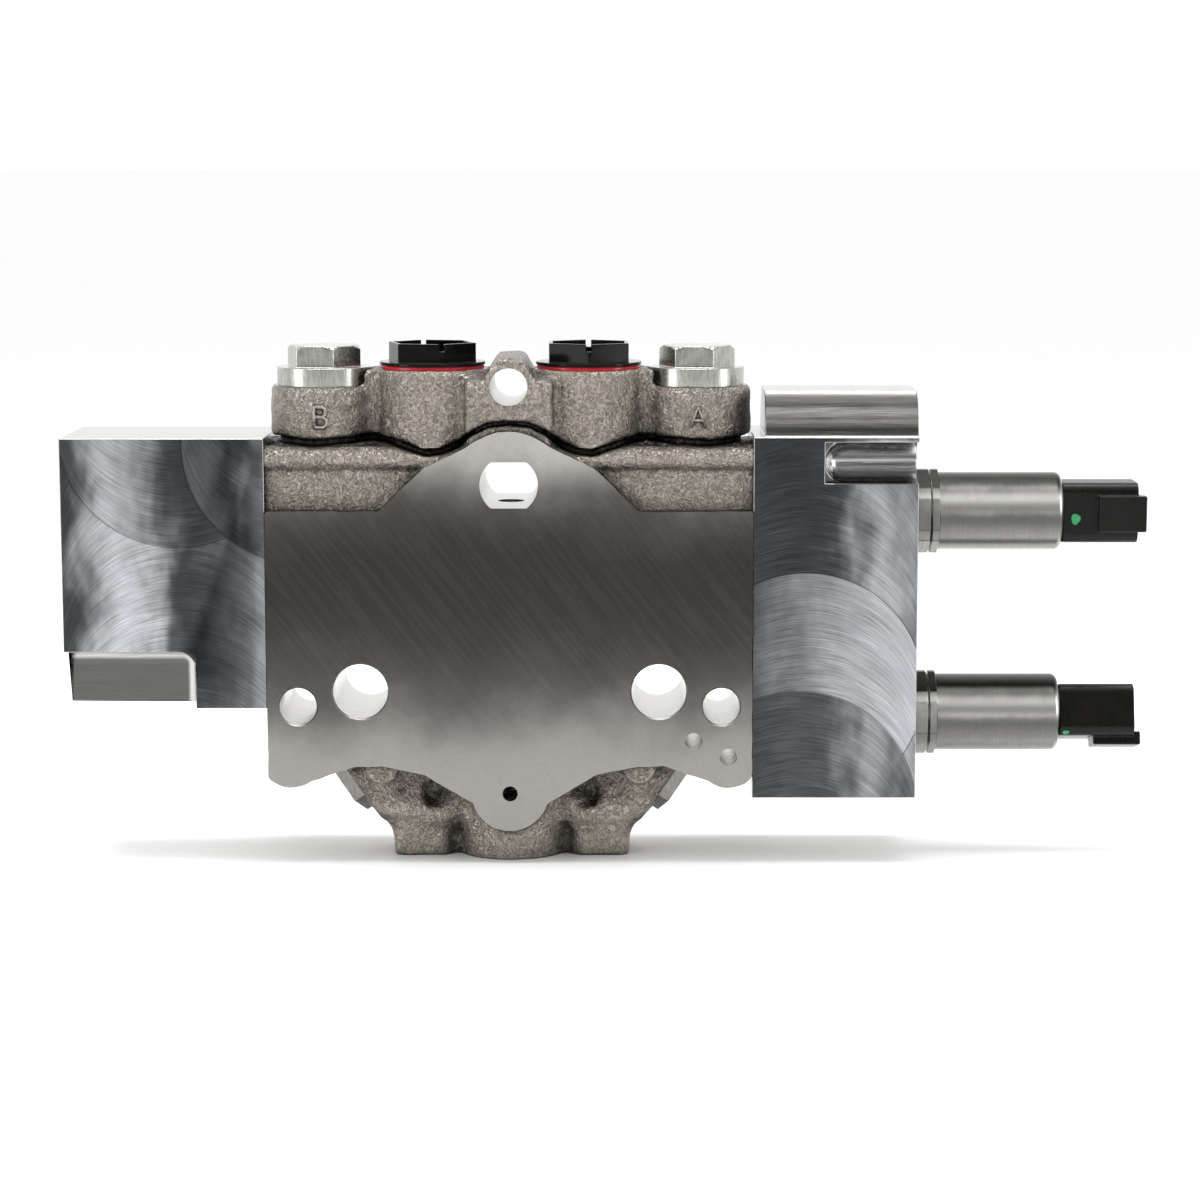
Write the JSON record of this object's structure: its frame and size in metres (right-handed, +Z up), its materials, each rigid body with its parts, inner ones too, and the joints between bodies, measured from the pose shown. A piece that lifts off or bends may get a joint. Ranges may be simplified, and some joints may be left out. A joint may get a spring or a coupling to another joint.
{
  "type": "solenoid directional valve section",
  "caption": "Stackable load-sensing directional valve section: cast housing, two end covers, and two solenoid pilot cartridges that shift a spring-centred spool.",
  "frame": {"origin": "on the front stacking face, on the housing's centre line, at the height of the main spool", "axes": "+X along the main spool towards the solenoids, +Y from the front stacking face to the rear one, +Z up towards the work ports"},
  "size_m": [0.3264, 0.044, 0.1565],
  "materials": {
    "cast_iron": "as cast, sparkling grain, with fine ground faces",
    "milled_aluminium": "face-milled with overlapping arc marks",
    "nickel_steel": "satin, turned and nickel-plated",
    "zinc_steel": "zinc-plated, faintly green",
    "ground_steel": "hardened and ground",
    "spring_steel": "dark drawn wire",
    "black_oxide": "black socket-head screw steel",
    "gloss_black": "gloss moulded plastic",
    "connector_black": "matt glass-filled plastic",
    "bobbin_plastic": "natural nylon",
    "red_seal": "red elastomer",
    "black_seal": "black nitrile",
    "copper": "enamelled copper winding",
    "tinned_pin": "plated contact pin"
  },
  "bodies": {
    "block": {"housing": "cast_iron", "left_cover": "milled_aluminium", "right_cover": "milled_aluminium", "left_cover_screws": "black_oxide", "right_cover_screws": "black_oxide", "left_cover_seal": "black_seal", "right_cover_seal": "black_seal", "left_centring_spring": "spring_steel", "right_centring_spring": "spring_steel", "compensator_spring": "spring_steel", "compensator_plug": "zinc_steel", "compensator_plug_seal": "black_seal", "shuttle_seat": "ground_steel", "port_plug_a": "gloss_black", "port_plug_b": "gloss_black", "port_gasket_a": "red_seal", "port_gasket_b": "red_seal", "cavity_plug_a": "zinc_steel", "cavity_plug_b": "zinc_steel", "cavity_plug_a_seal": "black_seal", "cavity_plug_b_seal": "black_seal", "left_sensing_plug": "zinc_steel", "right_sensing_plug": "zinc_steel", "sensing_plug_seals": "black_seal", "pump_port_seal": "black_seal", "tank_port_seals": "black_seal", "sensing_port_seal": "black_seal", "pilot_port_seals": "black_seal", "upper_valve_body": "nickel_steel", "upper_cartridge_seals": "black_seal", "upper_return_spring": "spring_steel", "upper_armature_tube": "nickel_steel", "upper_pole_piece": "ground_steel", "upper_coil_bobbin": "bobbin_plastic", "upper_coil_winding": "copper", "upper_solenoid_can": "nickel_steel", "upper_connector": "connector_black", "upper_connector_pins": "tinned_pin", "lower_valve_body": "nickel_steel", "lower_cartridge_seals": "black_seal", "lower_return_spring": "spring_steel", "lower_armature_tube": "nickel_steel", "lower_pole_piece": "ground_steel", "lower_coil_bobbin": "bobbin_plastic", "lower_coil_winding": "copper", "lower_solenoid_can": "nickel_steel", "lower_connector": "connector_black", "lower_connector_pins": "tinned_pin"},
    "spool": {"main_spool": "ground_steel", "left_spring_seat": "ground_steel", "right_spring_seat": "ground_steel"},
    "compensator": {"compensator_piston": "ground_steel"},
    "shuttle": {"shuttle_ball": "ground_steel"},
    "upper_plunger": {"upper_armature": "ground_steel", "upper_pilot_spool": "ground_steel"},
    "lower_plunger": {"lower_armature": "ground_steel", "lower_pilot_spool": "ground_steel"}
  },
  "joints": [
    {"name": "main_spool_slide", "type": "slide", "parent": "block", "child": "spool", "axis": [1, 0, 0], "range_m": [-0.007, 0.007], "stiffness_N_per_m": 6000, "deforming": ["left_centring_spring", "right_centring_spring"]},
    {"name": "compensator_slide", "type": "slide", "parent": "block", "child": "compensator", "axis": [0, 0, 1], "range_m": [-0.006, 0], "stiffness_N_per_m": 1200, "springref_m": 0.004, "deforming": ["compensator_spring"]},
    {"name": "shuttle_ball_slide", "type": "slide", "parent": "block", "child": "shuttle", "axis": [0, 1, 0], "range_m": [-0.0014, 0.0014]},
    {"name": "upper_plunger_slide", "type": "slide", "parent": "block", "child": "upper_plunger", "axis": [-1, 0, 0], "range_m": [0, 0.002], "stiffness_N_per_m": 900, "springref_m": -0.001, "deforming": ["upper_return_spring"]},
    {"name": "lower_plunger_slide", "type": "slide", "parent": "block", "child": "lower_plunger", "axis": [-1, 0, 0], "range_m": [0, 0.002], "stiffness_N_per_m": 900, "springref_m": -0.001, "deforming": ["lower_return_spring"]}
  ]
}
